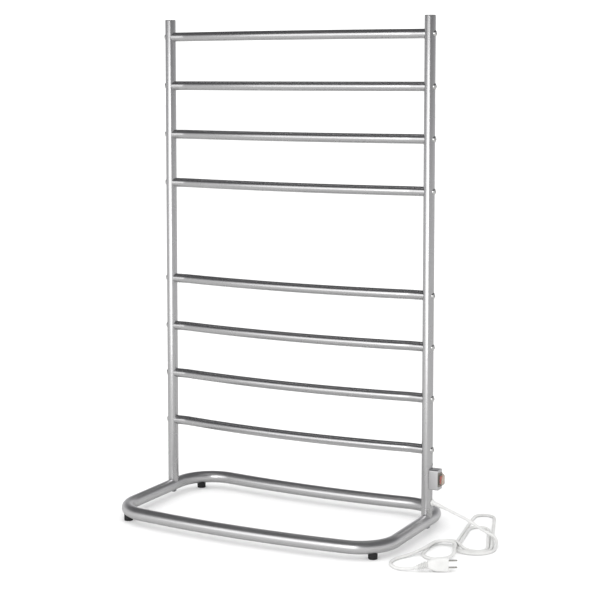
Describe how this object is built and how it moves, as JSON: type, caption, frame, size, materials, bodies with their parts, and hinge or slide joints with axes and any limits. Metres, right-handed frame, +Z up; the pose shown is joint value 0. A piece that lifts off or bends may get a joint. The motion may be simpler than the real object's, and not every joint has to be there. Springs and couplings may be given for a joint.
{
  "type": "towel warmer rack",
  "caption": "Free-standing electric towel warmer: bowed heated rungs between two posts on a bent-tube base, side rocker switch under a clear cover, mains lead.",
  "frame": {"origin": "On the floor, under the middle of the rack measured without its mains lead.", "axes": "+Z up, -Y is the front, where the user stands and the rungs bow towards; +X is the side with the switch and the mains lead."},
  "size_m": [0.7675, 0.4095, 1.0126],
  "materials": {
    "satin_tube": "satin, brushed round the tube",
    "end_cap": "satin",
    "zinc_insert": "zinc plated",
    "bright_screw": "polished",
    "zinc_screw": "zinc plated",
    "foot_rubber": "matte",
    "brushed_box": "brushed along its height",
    "seal_rubber": "matte",
    "black_plastic": "fine grain",
    "red_plastic": "glossy",
    "lamp_glass": "clear",
    "brass": "plain",
    "clear_cover": "clear and soft, slightly yellowed",
    "nylon": "moulded",
    "silicone": "matte",
    "blue_wire": "extruded",
    "brown_wire": "extruded",
    "white_sleeving": "woven glass",
    "white_vinyl": "semi-matte"
  },
  "bodies": {
    "rack": {"left_post": "satin_tube", "right_post": "satin_tube", "left_post_cap": "end_cap", "right_post_cap": "end_cap", "rung_1": "satin_tube", "rung_2": "satin_tube", "rung_3": "satin_tube", "rung_4": "satin_tube", "rung_5": "satin_tube", "rung_6": "satin_tube", "rung_7": "satin_tube", "rung_8": "satin_tube", "left_rung_inserts": "zinc_insert", "right_rung_inserts": "zinc_insert", "left_saddle_washers": "bright_screw", "right_saddle_washers": "bright_screw", "left_rung_screws": "bright_screw", "right_rung_screws": "bright_screw", "base_frame": "satin_tube", "left_foot_plug": "zinc_insert", "right_foot_plug": "zinc_insert", "left_base_bolt": "zinc_screw", "right_base_bolt": "zinc_screw", "foot_front_left": "foot_rubber", "foot_front_right": "foot_rubber", "foot_back_left": "foot_rubber", "foot_back_right": "foot_rubber", "foot_screws": "zinc_screw", "switch_housing": "brushed_box", "switch_gasket": "seal_rubber", "switch_housing_screws": "bright_screw", "switch_body": "black_plastic", "rocker_pivot": "bright_screw", "indicator_lamp": "lamp_glass", "switch_terminals": "brass", "splash_cover": "clear_cover", "wiring_clip": "nylon", "wiring_clip_screw": "bright_screw", "cord_gland": "white_vinyl", "heating_cable": "silicone", "return_wire": "blue_wire", "thermal_cutout": "white_sleeving", "wire_crimps": "brass", "supply_wires": "brown_wire", "power_cord_lead": "white_vinyl", "cord_hank": "white_vinyl", "power_cord_tail": "white_vinyl", "plug_strain_relief": "white_vinyl", "plug_body": "white_vinyl", "plug_blades": "brass"},
    "rocker": {"switch_rocker": "red_plastic"}
  },
  "joints": [
    {"name": "power_rocker", "type": "hinge", "parent": "rack", "child": "rocker", "pos_m": [0.31035, 0.0695, 0.108], "axis": [0, -1, 0], "range_deg": [0, 20]}
  ]
}
